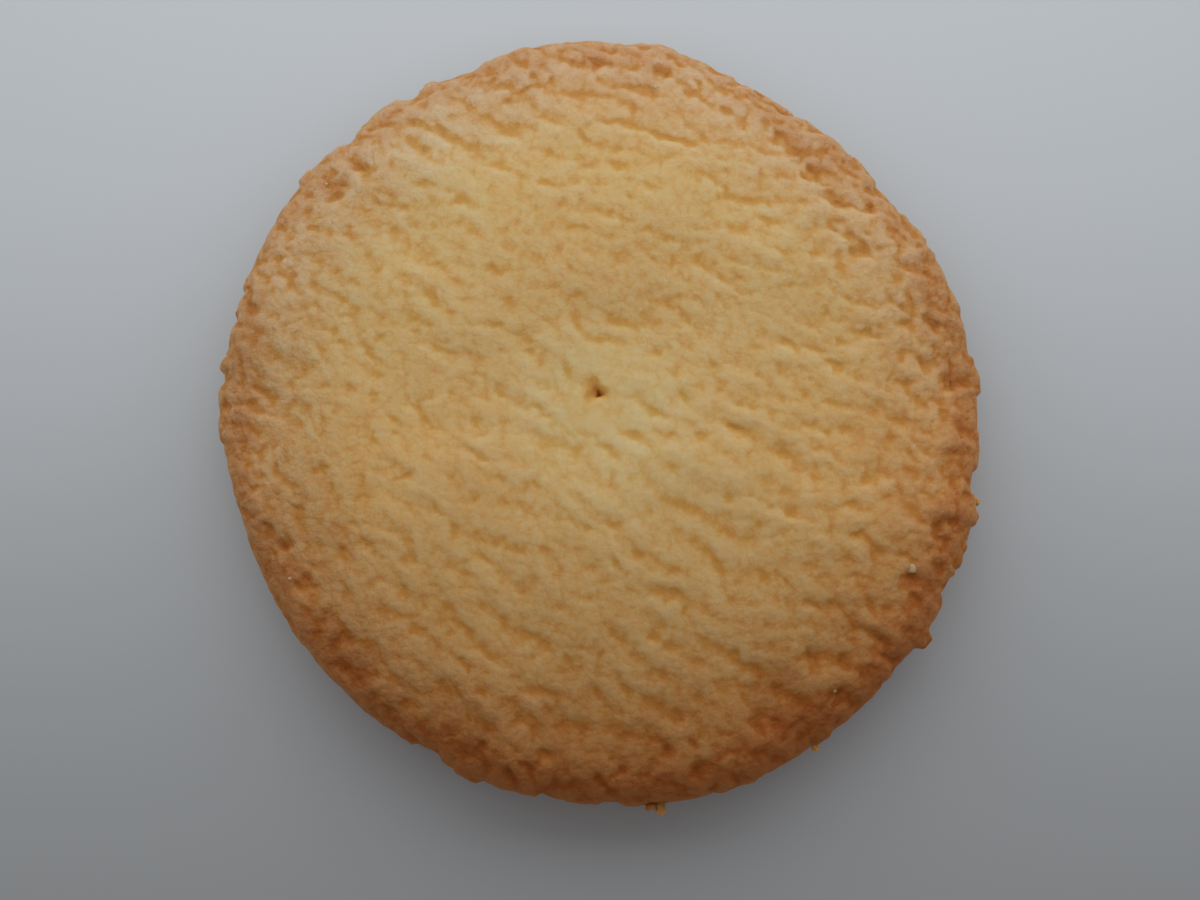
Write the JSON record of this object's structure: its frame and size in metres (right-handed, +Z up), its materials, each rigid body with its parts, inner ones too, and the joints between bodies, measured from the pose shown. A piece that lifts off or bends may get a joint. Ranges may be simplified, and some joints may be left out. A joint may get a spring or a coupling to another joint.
{
  "type": "butter cookie",
  "caption": "Round, thick butter cookie with a wrinkled pale top, a small vent hole near the middle, a browned lumpy rim and a flat baked underside to rest on.",
  "frame": {"origin": "middle of the flat underside: the centre of the bounding box's bottom face", "axes": "+Z up out of the top face; +X to the right and +Y away from the viewer as the cookie lies in front of them"},
  "size_m": [0.0704, 0.0714, 0.0112],
  "materials": {
    "baked_dough": "matt, porous baked butter dough: pale gold in the middle, golden brown at the rim and underside, no glaze"
  },
  "bodies": {
    "root": {"cookie": "baked_dough"}
  },
  "joints": []
}
